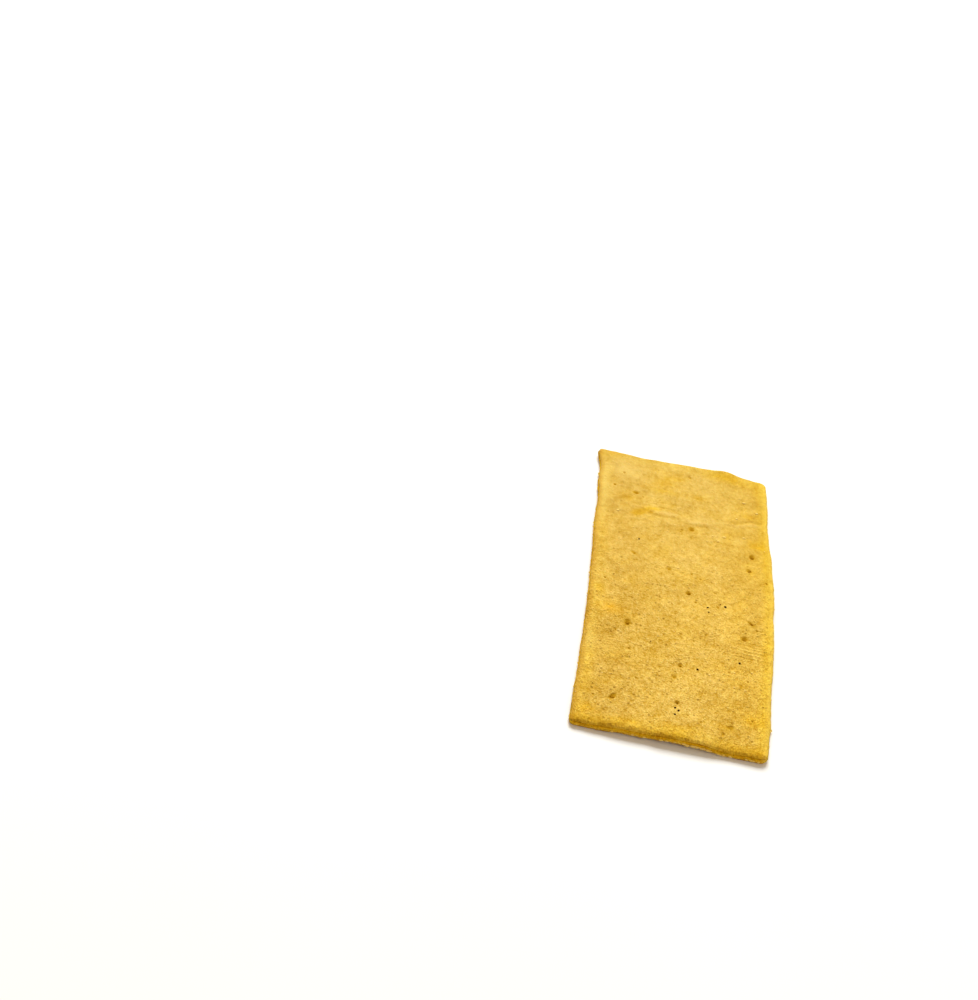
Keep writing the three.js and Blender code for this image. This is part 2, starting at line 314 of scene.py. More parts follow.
# Paler places of the upper face: x, y, strength, reach across, reach along
PALE_PLACES = [
    (-16, 47.2, 1.3, 3.4, 2.6),
    (-22.4, 41, 1.3, 1.4, 5),
    (-22.4, 31.5, 1, 1.1, 4.5),
    (-22.3, -27, 0.5, 1, 4),
    (-14, 52.8, 0.6, 5, 1),
    (-3, 51.8, 0.5, 5, 1),
    (-21, 54.4, 0.5, 1.5, 0.8),
    (21.8, 46, 0.6, 0.8, 5),
    (5, 47, 0.3, 5, 3),
    (-3, 30.7, 0.4, 2.4, 0.6),
    (3, 29.8, 0.45, 2.6, 0.6),
    (6, 31.5, 0.35, 2.4, 1),
    (15, 25.2, 1, 1.7, 1),
    (9.6, 25.2, 0.7, 1.2, 0.9),
    (-16, -28.6, 0.4, 2.6, 2),
    (-21.4, -26, 0.6, 1.3, 3),
    (-18, 28.1, 0.7, 0.6, 0.6),
    (-1.5, 8.4, 0.8, 0.5, 0.4),
    (-15.2, -20.7, 1, 0.42, 0.42),
    (-0.7, -41.8, 0.8, 0.3, 0.5),
    (7.7, -30.5, 0.7, 0.35, 0.4),
    (16.8, -33.2, 0.7, 0.35, 0.35),
    (14, -33, 0.5, 0.35, 0.35),
    (7.8, -54.4, 0.7, 2.6, 0.9),
    (-7.4, -54, 0.4, 3, 0.9),
]

# Half the height of a bran speck, and the specks: x, y, radius, stretch, turn
SPECK_HALF_HEIGHT = 0.2
SPECKS = [
    (10.85, -3.15, 0.33, 1.2, 1.4),
    (6.3, -5.1, 0.17, 2.1, 0.6),
    (6.6, -6.7, 0.17, 1.2, 0.8),
    (15.05, -23.35, 0.32, 1.2, 1.5),
    (4.75, -29.15, 0.31, 1.2, 1.5),
    (0.3, -44.8, 0.28, 1.2, 0.6),
    (1.2, -45.6, 0.27, 1.5, 1.3),
    (0.4, -47.3, 0.26, 1.1, 0),
    (-12, 17.2, 0.2, 1.6, 1.4),
    (-7.2, -22.5, 0.14, 1, 0),
    (9.5, -2.7, 0.14, 1, 0),
]

# Half the height of a crumb on the upper face for its radius, and the crumbs: x, y, radius, stretch, turn
CRUMB_FLATNESS = 0.6
CRUMBS = [
    (-15.4, -20.5, 0.36, 1.3, 0.4),
    (-14.9, -20.9, 0.26, 1.2, 1.2),
    (-0.8, -41.7, 0.28, 1.6, 1.2),
    (-0.4, -42, 0.2, 1, 0),
    (7.7, -30.5, 0.32, 1.2, 1.4),
    (16.8, -33.2, 0.3, 1.2, 0),
    (14, -33, 0.26, 1.4, 0.5),
    (-18, 28.1, 0.36, 1.2, 0.2),
    (-1.5, 8.4, 0.34, 1.2, 0),
    (8.9, 23.5, 0.4, 1.3, 0.3),
    (7.5, 25.1, 0.32, 1.2, 1),
    (10.6, 25.9, 0.34, 1.5, 0.2),
    (5.9, 22.3, 0.26, 1.2, 0),
    (16.1, 27.2, 0.36, 1.3, 0),
    (16.6, 43.2, 0.36, 1.4, 0.2),
    (20.1, 39.7, 0.36, 1.2, 0),
    (14.3, 35, 0.3, 1.2, 0),
]

# Smaller crumbs strewn over the face, as far out as these shares of it, but not where a hollow is this deep
STRAY_CRUMBS = 40
STRAY_CRUMB_REACH_X = 0.94
STRAY_CRUMB_REACH_Y = 0.97
STRAY_CRUMB_RADII = (0.12, 0.24)
STRAY_CRUMB_STRETCH = 1.3
CRUMB_FREE_DEPTH = 0.03

# Crumbs clinging low on the side wall: how many, their radii, stretches, half height for their radius and
# levels, and the share on each side in turn (near, right, left, far). The near ones gather about one x
WALL_CRUMBS = 90
WALL_CRUMB_RADII = (0.12, 0.32)
WALL_CRUMB_STRETCHES = (1, 2)
WALL_CRUMB_FLATNESS = 0.8
WALL_CRUMB_LEVELS = (0.03, 0.3)
WALL_CRUMB_SHARES = [0.6, 0.12, 0.16, 0.12]
NEAR_CRUMBS_X = 7
NEAR_CRUMBS_SPREAD = 9

# How uneven each crumb and speck is
CRUMB_UNEVENNESS = 0.18

# Seeds of the waves, of the fine relief, and of the crumbs and specks
SEED_LUMPS = 1
SEED_RIPPLES = 2
SEED_WALL = 3
SEED_SIDES = 4
SEED_ENDS = 5
SEED_SEAM = 6
SEED_CREASES = 7
SEED_FACE_GRAIN = 11
SEED_WALL_GRAIN = 21
SEED_CRUMB_RELIEF = 31
SEED_CRUMBS = 8
SEED_SPECKS = 5

# Fineness of the skin
RIM_STEPS = [0, 0.06, 0.16, 0.3, 0.48, 0.7, 0.95, 1.25]
SKIN_SPACING = 0.38
WALL_ROWS = 14
MARK_REACH = 1.5
MARK_CUTS = 2

# How brightly the light shows a white upward face, and what the face's own gloss adds
TOP_LIGHT = 1.12
GLOSS = 0.003

# Screen tones under that light
DOUGH_DARK = (204, 155, 38)
DOUGH_LIGHT = (255, 216, 113)
# Painted shade in the crust's little holes
HOLE_SHADE_TONE = (158, 112, 24)
PALE_TONE = (251, 216, 118)
# Painted shade in a crease's groove, and painted highlight on its raised lip
FOLD_SHADE_TONE = (196, 148, 42)
FOLD_HIGHLIGHT_TONE = (252, 212, 120)
# The marks: toasting with painted shade on their slopes, and painted shade deep in them and in their pin
# holes
TOAST_AND_SHADE_TONE = (204, 155, 30)
DEEP_MARK_SHADE_TONE = (170, 118, 6)
LEFT_RIM_TONE = (205, 150, 45)
# Painted highlight along the right rim
RIGHT_RIM_HIGHLIGHT = (250, 212, 92)
WALL_FOOT = (240, 195, 78)
WALL_MIDDLE = (236, 178, 22)
WALL_LIGHT = (250, 206, 66)
WALL_DARK = (196, 136, 6)
# Painted light on the side wall's right side
WALL_RIGHT_HIGHLIGHT = (255, 222, 92)
# Painted shade in the seam's groove
SEAM_SHADE_TONE = (176, 112, 6)
CRUMB_DARK = (247, 204, 98)
CRUMB_LIGHT = (255, 226, 134)

# Shares of red, green and blue that a tint leaves
GOLDEN_TINT = (1.02, 0.95, 0.36)
BROWNED_TINT = (0.88, 0.82, 0.6)
ORANGE_TINT = (1.06, 0.97, 0.75)
FRONT_TINT = (0.8, 0.75, 0.52)
# Painted shade that darkens the far end
FAR_END_SHADE_TINT = (0.905, 0.922, 0.985)
BORDER_TINT = (1.03, 1.04, 0.9)
SCORCHED_TINT = (0.8, 0.68, 0.5)
# Tints across the cracker: the side (-1 left rim, 1 right rim) where each begins and is full, its shares
SIDE_TINTS = [
    (-0.35, -0.6, (0.95, 0.93, 0.9)),
    (0.35, 0.6, (0.98, 0.955, 0.79)),
    # This tint, on the right rim, is painted light
    (0.84, 0.95, (1.06, 1.07, 0.75)),
]

# Surface colours of the bran and the floor
BRAN_DARK = (0.012, 0.002, 0.0003, 1)
BRAN_LIGHT = (0.05, 0.01, 0.001, 1)
FLOOR_DARK = (0.92, 0.92, 0.92, 1)
FLOOR_LIGHT = (0.93, 0.93, 0.93, 1)

# The grain's colour noises: size, detail, roughness, strength, and how much each fades where it is smooth
GRAIN_LAYERS = [
    (9, 1, 0.5, 0.55, 0),
    (2.6, 1, 0.6, 0.8, 0.15),
    (0.95, 2, 0.65, 1.2, 0.2),
    (0.42, 1, 0.5, 1.35, 1),
]
GRAIN_LENGTHENING = 1.3

# Dark lines that wind through the grain: the size of their windings, and how wide and dark they are
LINE_WINDING = 1.5
LINE_WIDTH = 0.045
LINE_DARKNESS = 0.13

# Dots in the middles of random cells: cell size, the colour channel that draws lots, the share of cells with
# a dot, where in a cell it ends and is full, and its strength
PALE_DOTS = (0.6, 0, 0.12, 0.5, 0.2, 0.4)
HOLE_DOTS = (1.1, 1, 0.3, 0.32, 0.08, 1)
# How far the little holes' painted shade darkens the colour
HOLE_SHADE_STRENGTH = 0.6
HOLE_BUMP = 0.5
BUMP_HEIGHT = 0.0003

# Sizes of the noises that make tints ragged, strew golden patches, scorch the underside and break the seam's
# painted shade
RAGGED_SIZE = 1.4
PATCH_SIZE = 5
SCORCH_SIZE = 8
GAP_SIZE = 4

# Fine relief: cell size and height of each noise
GRAINS = [(0.62, 0.022), (1.3, 0.026), (2.9, 0.03)]
WALL_GRAINS = [(0.5, 0.03), (1.1, 0.07), (2.4, 0.05)]
# Crumbly bits of the side wall: cell size, height, share of cells, and the levels where they end and are full
CRUMB_CELL = 0.9
CRUMB_HEIGHT = 0.22
CRUMB_SHARE = 0.25
CRUMB_LEVELS = (0.55, 0.1)
# How far in the wall's relief reaches, how tall a level counts in the noises' space, how high the underside
# stands before it is rough, and how far its roughness goes down
RELIEF_RIM = 1.4
LEVEL_STRETCH = 3
SETTLED_HEIGHT = 0.15
FOOT_RELIEF_LOW = -0.04

# The floor, in metres: its height, a hair under the cracker's flat places, and half its width
FLOOR = -0.00003
FLOOR_HALF = 3

# Lamps: name, place in metres, width, height, power, colour
LAMPS = [
    ("key", (-0.15, 0.87, 1.0), 0.9, 0.7, 23, (0.95, 0.99, 1)),
    ("fill", (0.5, -0.9, 0.9), 1.0, 0.8, 3.4, (1, 0.92, 0.8)),
]
WORLD_COLOUR = (1, 0.84, 0.64, 1)
WORLD_STRENGTH = 0.35

# The camera, fitted to the outline: its place above the sheet's plan, and its angles in degrees
CAMERA_PLACE = (-67.6, -422.6, 331.3)
CAMERA_LOOK_DOWN = 36.55
CAMERA_HEADING = 2.21
CAMERA_ROLL = 13.34
PICTURE_HEIGHT = 1000
FOCAL_PIXELS = 2130
SENSOR_WIDTH = 36

GOLDEN_ANGLE = math.pi * (3 - math.sqrt(5))
WAVES = 7
WAVE_STEP = 0.13
PHASE_STEP = 1.7


# ---- Form of the sheet ----

def unevenness(x, y, wavelength, seed):
    """Waves in spread directions, adding up to about -1.5 to 1.5."""
    total = 0
    for wave in range(WAVES):
        heading = seed + wave * GOLDEN_ANGLE
        along = x * np.cos(heading) + y * np.sin(heading)
        turns = along * (1 + WAVE_STEP * wave) / wavelength
        total = total + np.sin(2 * np.pi * turns + seed * PHASE_STEP * (wave + 1))
    return total / math.sqrt(WAVES)


def swells(x, y, spots):
    """The sum of smooth swellings."""
    total = 0
    for spot_x, spot_y, height, across, along in spots:
        distance = ((x - spot_x) / across) ** 2 + ((y - spot_y) / along) ** 2
        total = total + height * np.exp(-distance / 2)
    return total


def smooth_step(low, high, value):
    """0 at low and 1 at high, smooth between. low may be the larger."""
    part = np.clip((value - low) / (high - low), 0, 1)
    return part * part * (3 - 2 * part)


def creases(x, y):
    """Height of the creases across the upper face."""
    wander = CREASE_WANDER * unevenness(x, y, CREASE_WAVELENGTH, SEED_CREASES)
    total = 0
    for from_x, to_x, middle_y, slope, depth, width, lip, lip_side in CREASES:
        offset = (y - (middle_y + slope * x + wander)) / width
        from_lip = (offset - lip_side * LIP_OFFSET) / LIP_SPREAD
        begin = smooth_step(from_x - CREASE_FADE, from_x + CREASE_FADE, x)
        end = smooth_step(to_x + CREASE_FADE, to_x - CREASE_FADE, x)
        total = total + begin * end * (lip * np.exp(-from_lip ** 2) - depth * np.exp(-offset ** 2))
    return total


def lift(x, y):
    """How far the sheet stands off the tray before its low places are flattened."""
    t = x / HALF_WIDTH
    s = y / HALF_LENGTH
    bend = CROWN * (1 - t * t) + ARCH * (1 - s * s)
    return bend + swells(x, y, BUCKLES) + LUMP_HEIGHT * unevenness(x, y, LUMP_WAVELENGTH, SEED_LUMPS)


def underside(x, y):
    return np.maximum(0, lift(x, y) - FLATTENED)


def upper_face(x, y):
    ripples = RIPPLE_HEIGHT * unevenness(x, y, RIPPLE_WAVELENGTH, SEED_RIPPLES)
    return THICKNESS - FLATTENED + lift(x, y) + swells(x, y, BLISTERS) + creases(x, y) + ripples


def hollows(x, y):
    """How deep each point lies in a pin mark or pinhole, and how dark it is there, toasted and in painted
    shade.
    """
    depth_here = np.zeros_like(x)
    toast_and_shade_here = np.zeros_like(x)
    pinholes = [(px, py, radius, PINHOLE_DEPTH, 1, 0, mark_darkness) for px, py, radius, mark_darkness in PINHOLES]
    for mark_x, mark_y, radius, depth, stretch, turn, mark_darkness in MARKS + pinholes:
        off_x = x - mark_x
        off_y = y - mark_y
        along = off_x * math.cos(turn) + off_y * math.sin(turn)
        across = off_y * math.cos(turn) - off_x * math.sin(turn)
        reach = np.hypot(along / stretch, across) / radius
        pin = np.hypot(off_x - PIN_SHIFT_X * radius, off_y - PIN_SHIFT_Y * radius) / radius
        slope = MARK_SLOPE * smooth_step(*MARK_SLOPE_ENDS, reach)
        pin_hole = (1 - MARK_SLOPE) * smooth_step(*PIN_ENDS, pin)
        dish = MARK_DISH * depth * np.exp(-(reach / DISH_REACH) ** 2)
        depth_here = np.maximum(depth_here, (slope + pin_hole) * depth + dish)
        haze = HAZE * np.exp(-(reach / HAZE_REACH) ** 2)
        slope_darkening = SLOPE_DARKENING * smooth_step(*SLOPE_DARKENING_ENDS, reach)
        pin_shade = (1 - SLOPE_DARKENING - HAZE) * smooth_step(*PIN_SHADE_ENDS, pin)
        toast_and_shade_here = np.maximum(toast_and_shade_here, mark_darkness * (haze + slope_darkening + pin_shade))
    return depth_here, toast_and_shade_here


def round_corner(u, v):
    """Rounds the rectangle's corners: the moved point, its distance from the outline and the way out."""
    radius = np.where(u < 0, LEFT_CORNER_RADIUS, RIGHT_CORNER_RADIUS)
    reach_x = np.abs(u) - (HALF_WIDTH - radius)
    reach_y = np.abs(v) - (HALF_LENGTH - radius)
    reach = np.maximum(reach_x, reach_y)
    cornered = (reach_x > 0) & (reach_y > 0)
    diagonal = np.where(cornered, np.hypot(reach_x, reach_y), 1)
    out_x = np.sign(u) * np.where(cornered, reach_x / diagonal, reach_x > reach_y)
    out_y = np.sign(v) * np.where(cornered, reach_y / diagonal, reach_x <= reach_y)
    x = np.where(cornered, u - np.sign(u) * reach_x + out_x * reach, u)
    y = np.where(cornered, v - np.sign(v) * reach_y + out_y * reach, v)
    return x, y, radius - reach, out_x, out_y


def rim_drop(depth, inward, down):
    """Quarter-ellipse drop from a face to its rim."""
    part = np.clip(1 - depth / inward, 0, 1)
    return down * (1 - np.sqrt(1 - part * part))


def seam_nearness(level):
    """1 in the side wall's seam, and 0 away from it."""
    return np.exp(-((level - SEAM_LEVEL) / SEAM_SPREAD) ** 2)


def wall_outset(x, y, level):
    """How far the side wall stands out at a level from 0, its foot, to 1, its top."""
    bulge = WALL_BULGE * np.sin(np.pi * level)
    seam = SEAM_DEPTH * seam_nearness(level)
    return bulge - seam + WALL_ROUGHNESS * unevenness(x, y, WALL_WAVELENGTH, SEED_WALL + level)


def bend_plan(x, y):
    """Bends the straight outline into its bowed, uneven one."""
    t = x / HALF_WIDTH
    s = y / HALF_LENGTH
    bow = (SIDE_BOW + BARREL * t) * (1 - s * s)
    for side, dent_y, out, along in SIDE_DENTS:
        nearness = np.maximum(side * t, 0) ** DENT_FADE
        bow = bow + side * out * nearness * np.exp(-((y - dent_y) / along) ** 2 / 2)
    side_wave = EDGE_WAVE * np.abs(t) * unevenness(x, y, EDGE_WAVELENGTH, SEED_SIDES)
    end_wave = EDGE_WAVE * np.abs(s) * unevenness(x, y, EDGE_WAVELENGTH, SEED_ENDS)
    return x + bow + side_wave, y + end_wave


# ---- Fine relief ----

def lattice_value(i, j, k, seed):
    """A repeatable number from 0 to 1 for each point of a lattice."""
    mixed = (i * 374761393 + j * 668265263 + k * 2147483647 + seed * 1274126177) & 0xFFFFFFFF
    mixed = ((mixed ^ (mixed >> 13)) * 1274126177) & 0xFFFFFFFF
    return ((mixed ^ (mixed >> 16)) & 0xFFFF) / 0xFFFF


def grain(points, cell, seed):
    """Smooth noise from -1 to 1, with features of about one cell."""
    scaled = points / cell
    base = np.floor(scaled).astype(np.int64)
    part = scaled - base
    part = part * part * (3 - 2 * part)
    total = 0
    for corner in itertools.product((0, 1), repeat=3):
        weight = np.prod(np.where(corner, part, 1 - part), axis=1)
        total = total + weight * lattice_value(*(base + corner).T, seed)
    return 2 * total - 1


def grains(points, layers, seed):
    """The sum of several noises, given by their cell sizes and heights."""
    total = 0
    for index, (cell, height) in enumerate(layers):
        total = total + height * grain(points, cell, seed + index)
    return total


def fine_relief(x, y, depth, level):
    """Fine unevenness of the two faces, and how far it sets the crumbly side wall out."""
    flat = np.stack([x, y, LEVEL_STRETCH * level], axis=1)
    relief = grains(flat, GRAINS, SEED_FACE_GRAIN)
    wall_relief = grains(flat, WALL_GRAINS, SEED_WALL_GRAIN)
    crumbs = np.maximum(grain(flat, CRUMB_CELL, SEED_CRUMB_RELIEF) - (1 - 2 * CRUMB_SHARE), 0)
    crumbs = CRUMB_HEIGHT * crumbs / (2 * CRUMB_SHARE) * smooth_step(*CRUMB_LEVELS, level)
    return relief, smooth_step(RELIEF_RIM, 0, depth) * (wall_relief + crumbs)


def skin_points(places, fine):
    """The skin's points from their places (u, v, level) in the flat sheet."""
    u, v, level = places.T
    x, y, depth, out_x, out_y = round_corner(u, v)
    on_wall = (level > 0) & (level < 1)
    foot = underside(x, y) + rim_drop(depth, BOTTOM_ROUND, BOTTOM_ROUND)
    top = upper_face(x, y) - rim_drop(depth, TOP_ROUND_IN, TOP_ROUND_DOWN)
    outset = np.where(on_wall, wall_outset(x, y, level), 0)
    if fine:
        relief, wall_relief = fine_relief(x, y, depth, level)
        outset = outset + wall_relief
        top = top + relief - np.where(level == 1, hollows(x, y)[0], 0)
        foot = foot + smooth_step(0, SETTLED_HEIGHT, foot) * np.maximum(relief, FOOT_RELIEF_LOW)
    bent_x, bent_y = bend_plan(x + out_x * outset, y + out_y * outset)
    wander = SEAM_WANDER * unevenness(x, y, EDGE_WAVELENGTH, SEED_SEAM)
    shifted = level + wander * level * (1 - level) * 4
    return np.stack([bent_x, bent_y, foot + (top - foot) * shifted], axis=1)


def skin_facts(places):
    """What the material needs to know at each place (u, v, level) of the skin, by name."""
    u, v, level = places.T
    x, y, depth, _, _ = round_corner(u, v)
    on_face = {
        # How dark the marks are: toasting, with painted shade in their hollows
        "toasted": hollows(x, y)[1],
        "browned": swells(x, y, BROWNED_PLACES),
        "golden": swells(x, y, GOLDEN_PLACES),
        "orange": swells(x, y, ORANGE_PLACES),
        "pale": swells(x, y, PALE_PLACES),
        "wrinkled": swells(x, y, WRINKLED_PLACES),
        "fold": creases(x, y),
    }
    facts = {name: np.where(level == 1, values, 0) for name, values in on_face.items()}
    facts["level"] = level
    facts["seam"] = np.where((level > 0) & (level < 1), seam_nearness(level), 0)
    facts["side"] = x / HALF_WIDTH
    facts["border"] = smooth_step(*BORDER_ENDS, depth)
    facts["front"] = smooth_step(FRONT_REACH, 0, y + HALF_LENGTH)
    facts["calm_and_far_shade"] = smooth_step(CALM_FROM, CALM_TO, y)
    return facts


# ---- Meshes ----

# For each side of a box: two grid directions whose cross product points out, the fixed direction, its end
BOX_SIDES = [(0, 1, 2, 1), (1, 0, 2, 0), (1, 2, 0, 1), (2, 1, 0, 0), (2, 0, 1, 1), (0, 2, 1, 0)]


def box_quads(counts):
    """The quads of a gridded box's surface, over shared corners given by their three counts."""
    sides = []
    for first, second, fixed, far in BOX_SIDES:
        steps = np.meshgrid(np.arange(counts[first]), np.arange(counts[second]), indexing="ij")
        quads = np.zeros((steps[0].size, 4, 3), np.int64)
        for corner, (ahead, aside) in enumerate(((0, 0), (1, 0), (1, 1), (0, 1))):
            quads[:, corner, first] = steps[0].ravel() + ahead
            quads[:, corner, second] = steps[1].ravel() + aside
            quads[:, corner, fixed] = counts[fixed] * far
        sides.append(quads)
    corners = np.concatenate(sides).reshape(-1, 3)
    places, index = np.unique(corners, axis=0, return_inverse=True)
    return places, index.reshape(-1, 4)


def grid_lines(half):
    """Line positions across one direction: close together over the rims, even between them."""
    rim = half - np.array(RIM_STEPS)
    count = round(2 * rim[-1] / SKIN_SPACING)
    even = np.linspace(-rim[-1], rim[-1], count + 1)[1:-1]
    return np.concatenate([-rim, even, rim[::-1]])


def refine_marks(mesh):
    """Cuts the faces round each pin mark finer, while the mesh still lies in the flat sheet's plan."""
    work = bmesh.new()
    work.from_mesh(mesh)
    centres = [(Vector(mark[:2]), MARK_REACH * mark[2] * mark[4]) for mark in MARKS]
    centres += [(Vector(pinhole[:2]), MARK_REACH * pinhole[2]) for pinhole in PINHOLES]

    def near(vertex):
        place = vertex.co.xy
        return vertex.co.z == 1 and any((place - centre).length < reach for centre, reach in centres)

    chosen = {vertex for vertex in work.verts if near(vertex)}
    edges = [edge for edge in work.edges if edge.verts[0] in chosen and edge.verts[1] in chosen]
    bmesh.ops.subdivide_edges(work, edges=edges, cuts=MARK_CUTS, use_grid_fill=True)
    work.to_mesh(mesh)
    work.free()


def coordinates(mesh):
    flat = np.empty(len(mesh.vertices) * 3, np.float32)
    mesh.vertices.foreach_get("co", flat)
    return flat.reshape(-1, 3).astype(np.float64)


def finish_piece(piece, material):
    """Puts a finished mesh object into the scene as a piece of the cracker."""
    piece.data.materials.append(material)
    piece.data.shade_smooth()
    bpy.context.scene.collection.objects.link(piece)
    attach(piece, "root")
    return piece


def plan_shift(places):
    """From the sheet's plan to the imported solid's place, in millimetres."""
    points = skin_points(places, fine=False)
    middle = (points.min(axis=0) + points.max(axis=0)) / 2
    target = (NODE_LOW + NODE_HIGH) / 2 / MM
    return np.array([target.x - middle[0], target.y - middle[1], NODE_LOW.z / MM - points[:, 2].min()])


def skin_mesh():
    """The flat sheet's gridded skin, with its points still at their places (u, v, level)."""
    columns = grid_lines(HALF_WIDTH)
    rows = grid_lines(HALF_LENGTH)
    levels = np.linspace(0, 1, WALL_ROWS + 1)
    corners, quads = box_quads((len(columns) - 1, len(rows) - 1, WALL_ROWS))
    places = np.stack([columns[corners[:, 0]], rows[corners[:, 1]], levels[corners[:, 2]]], axis=1)
    mesh = bpy.data.meshes.new("cracker_skin")
    mesh.from_pydata(places.tolist(), [], quads.tolist())
    refine_marks(mesh)
    return mesh


def make_skin(material):
    """Makes the skin, and gives the shift from the sheet's plan to its place."""
    mesh = skin_mesh()
    places = coordinates(mesh)
    places[:, 2] = np.round(places[:, 2] * WALL_ROWS) / WALL_ROWS
    shift = plan_shift(places)
    points = (skin_points(places, fine=True) + shift) * MM
    mesh.vertices.foreach_set("co", points.astype(np.float32).ravel())
    for name, values in skin_facts(places).items():
        attribute = mesh.attributes.new(name, "FLOAT", "POINT")
        attribute.data.foreach_set("value", values.astype(np.float32))
    mesh.update()
    skin = finish_piece(bpy.data.objects.new("cracker_skin", mesh), material)
    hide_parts("cracker")
    return shift


def lump(radii, turn, random):
    """Points and faces of one small uneven lump, centred on the origin."""
    work = bmesh.new()
    bmesh.ops.create_icosphere(work, subdivisions=2, radius=1)
    points = np.array([vertex.co[:] for vertex in work.verts])
    faces = np.array([[vertex.index for vertex in face.verts] for face in work.faces])
    work.free()
    bumps = random.uniform(-CRUMB_UNEVENNESS, CRUMB_UNEVENNESS, (len(points), 1))
    points = points * (1 + bumps) * radii
    cos, sin = math.cos(turn), math.sin(turn)
    points[:, :2] = points[:, :2] @ np.array([[cos, sin], [-sin, cos]])
    return points, faces


def joined_lumps(name, lumps, shift):
    """One mesh object of many lumps, given as (points, faces) in the sheet's plan."""
    starts = np.cumsum([0] + [len(points) for points, _ in lumps])
    points = np.concatenate([points for points, _ in lumps])
    faces = np.concatenate([faces + start for (_, faces), start in zip(lumps, starts)])
    mesh = bpy.data.meshes.new(name)
    mesh.from_pydata(((points + shift) * MM).tolist(), [], faces.tolist())
    return bpy.data.objects.new(name, mesh)


def skin_point(u, v, level):
    """One point of the finished skin."""
    return skin_points(np.array([[u, v, level]]), fine=True)[0]


def wall_crumb_place(random):
    """A random place (u, v, level) low on the side wall, and the turn that lays a crumb along that side."""
    side = random.choice(4, p=WALL_CRUMB_SHARES)
    level = random.uniform(*WALL_CRUMB_LEVELS)
    reach = HALF_WIDTH - RIGHT_CORNER_RADIUS
    across = random.uniform(-reach, reach)
    along = random.uniform(-1, 1) * (HALF_LENGTH - RIGHT_CORNER_RADIUS)
    near = np.clip(random.normal(NEAR_CRUMBS_X, NEAR_CRUMBS_SPREAD), -reach, reach)
    places = [(near, -HALF_LENGTH), (HALF_WIDTH, along), (-HALF_WIDTH, along), (across, HALF_LENGTH)]
    return (*places[side], level), (0, math.pi / 2, math.pi / 2, 0)[side]


def stray_crumbs(random):
    """Small crumbs anywhere on the upper face, but not in its marks."""
    x = random.uniform(-STRAY_CRUMB_REACH_X, STRAY_CRUMB_REACH_X, STRAY_CRUMBS) * HALF_WIDTH
    y = random.uniform(-STRAY_CRUMB_REACH_Y, STRAY_CRUMB_REACH_Y, STRAY_CRUMBS) * HALF_LENGTH
    radius = random.uniform(*STRAY_CRUMB_RADII, STRAY_CRUMBS)
    turn = random.uniform(0, math.pi, STRAY_CRUMBS)
    clear = hollows(x, y)[0] < CRUMB_FREE_DEPTH
    strays = zip(x[clear], y[clear], radius[clear], turn[clear])
    return [(x, y, radius, STRAY_CRUMB_STRETCH, turn) for x, y, radius, turn in strays]


def make_crumbs(material, shift):
    """Pale crumbs that cling to the upper face and low on the side wall."""
    random = np.random.default_rng(SEED_CRUMBS)
    lumps = []
    for x, y, radius, stretch, turn in CRUMBS + stray_crumbs(random):
        points, faces = lump((radius * stretch, radius, CRUMB_FLATNESS * radius), turn, random)
        lumps.append((points + skin_point(x, y, 1.0), faces))
    for _ in range(WALL_CRUMBS):
        place, turn = wall_crumb_place(random)
        radius = random.uniform(*WALL_CRUMB_RADII)
        stretch = random.uniform(*WALL_CRUMB_STRETCHES)
        points, faces = lump((radius * stretch, radius, WALL_CRUMB_FLATNESS * radius), turn, random)
        lumps.append((points + skin_point(*place), faces))
    finish_piece(joined_lumps("clinging_crumbs", lumps, shift), material)


def make_specks(material, shift):
    """Dark bran specks, each half sunk in the face."""
    random = np.random.default_rng(SEED_SPECKS)
    lumps = []
    for x, y, radius, stretch, turn in SPECKS:
        points, faces = lump((radius * stretch, radius, SPECK_HALF_HEIGHT), turn, random)
        lumps.append((points + skin_point(x, y, 1.0), faces))
    finish_piece(joined_lumps("bran_specks", lumps, shift), material)


# ---- Materials ----

def linear(red, green, blue):
    """Linear shares of a colour given from 0 to 255 as on screen."""
    shares = [channel / 255 for channel in (red, green, blue)]
    return [s / 12.92 if s <= 0.04045 else ((s + 0.055) / 1.055) ** 2.4 for s in shares]


def tone(red, green, blue):
    """The surface colour that shows as this screen colour where the light falls on the upper face."""
    return (*[max((share - GLOSS) / TOP_LIGHT, 0) for share in linear(red, green, blue)], 1)


def add(tree, kind, sockets=None, **settings):
    """A new node, with its settings and with each named input set or linked."""
    made = tree.nodes.new(kind)
    for name, value in settings.items():
        setattr(made, name, value)
    for name, value in (sockets or {}).items():
        if isinstance(value, bpy.types.NodeSocket):
            tree.links.new(value, made.inputs[name])
        else:
            made.inputs[name].default_value = value
    return made


def calculate(tree, operation, *values, clamp=False):
    sockets = dict(enumerate(values))
    return add(tree, "ShaderNodeMath", sockets, operation=operation, use_clamp=clamp).outputs[0]


def product(tree, first, second, clamp=False):
    return calculate(tree, "MULTIPLY", first, second, clamp=clamp)


def remap(tree, value, from_low, from_high, to_low=0.0, to_high=1.0):
    """Carries one range over to another, and holds what lies outside it at its ends."""
    sockets = {"Value": value, "From Min": from_low, "From Max": from_high}
    sockets.update({"To Min": to_low, "To Max": to_high})
    return add(tree, "ShaderNodeMapRange", sockets, clamp=True).outputs["Result"]


def blend(tree, factor, under, over, way="MIX"):
    sockets = {0: factor, 6: under, 7: over}
    return add(tree, "ShaderNodeMix", sockets, data_type="RGBA", blend_type=way).outputs[2]


def tint(tree, factor, colour, shares):
    """The colour, with its red, green and blue cut to shares as far as the factor says."""
    return blend(tree, factor, colour, blend(tree, 1.0, colour, (*shares, 1), "MULTIPLY"))


def fact(tree, name):
    """One of the facts that the skin's points carry."""
    return add(tree, "ShaderNodeAttribute", attribute_name=name).outputs["Fac"]


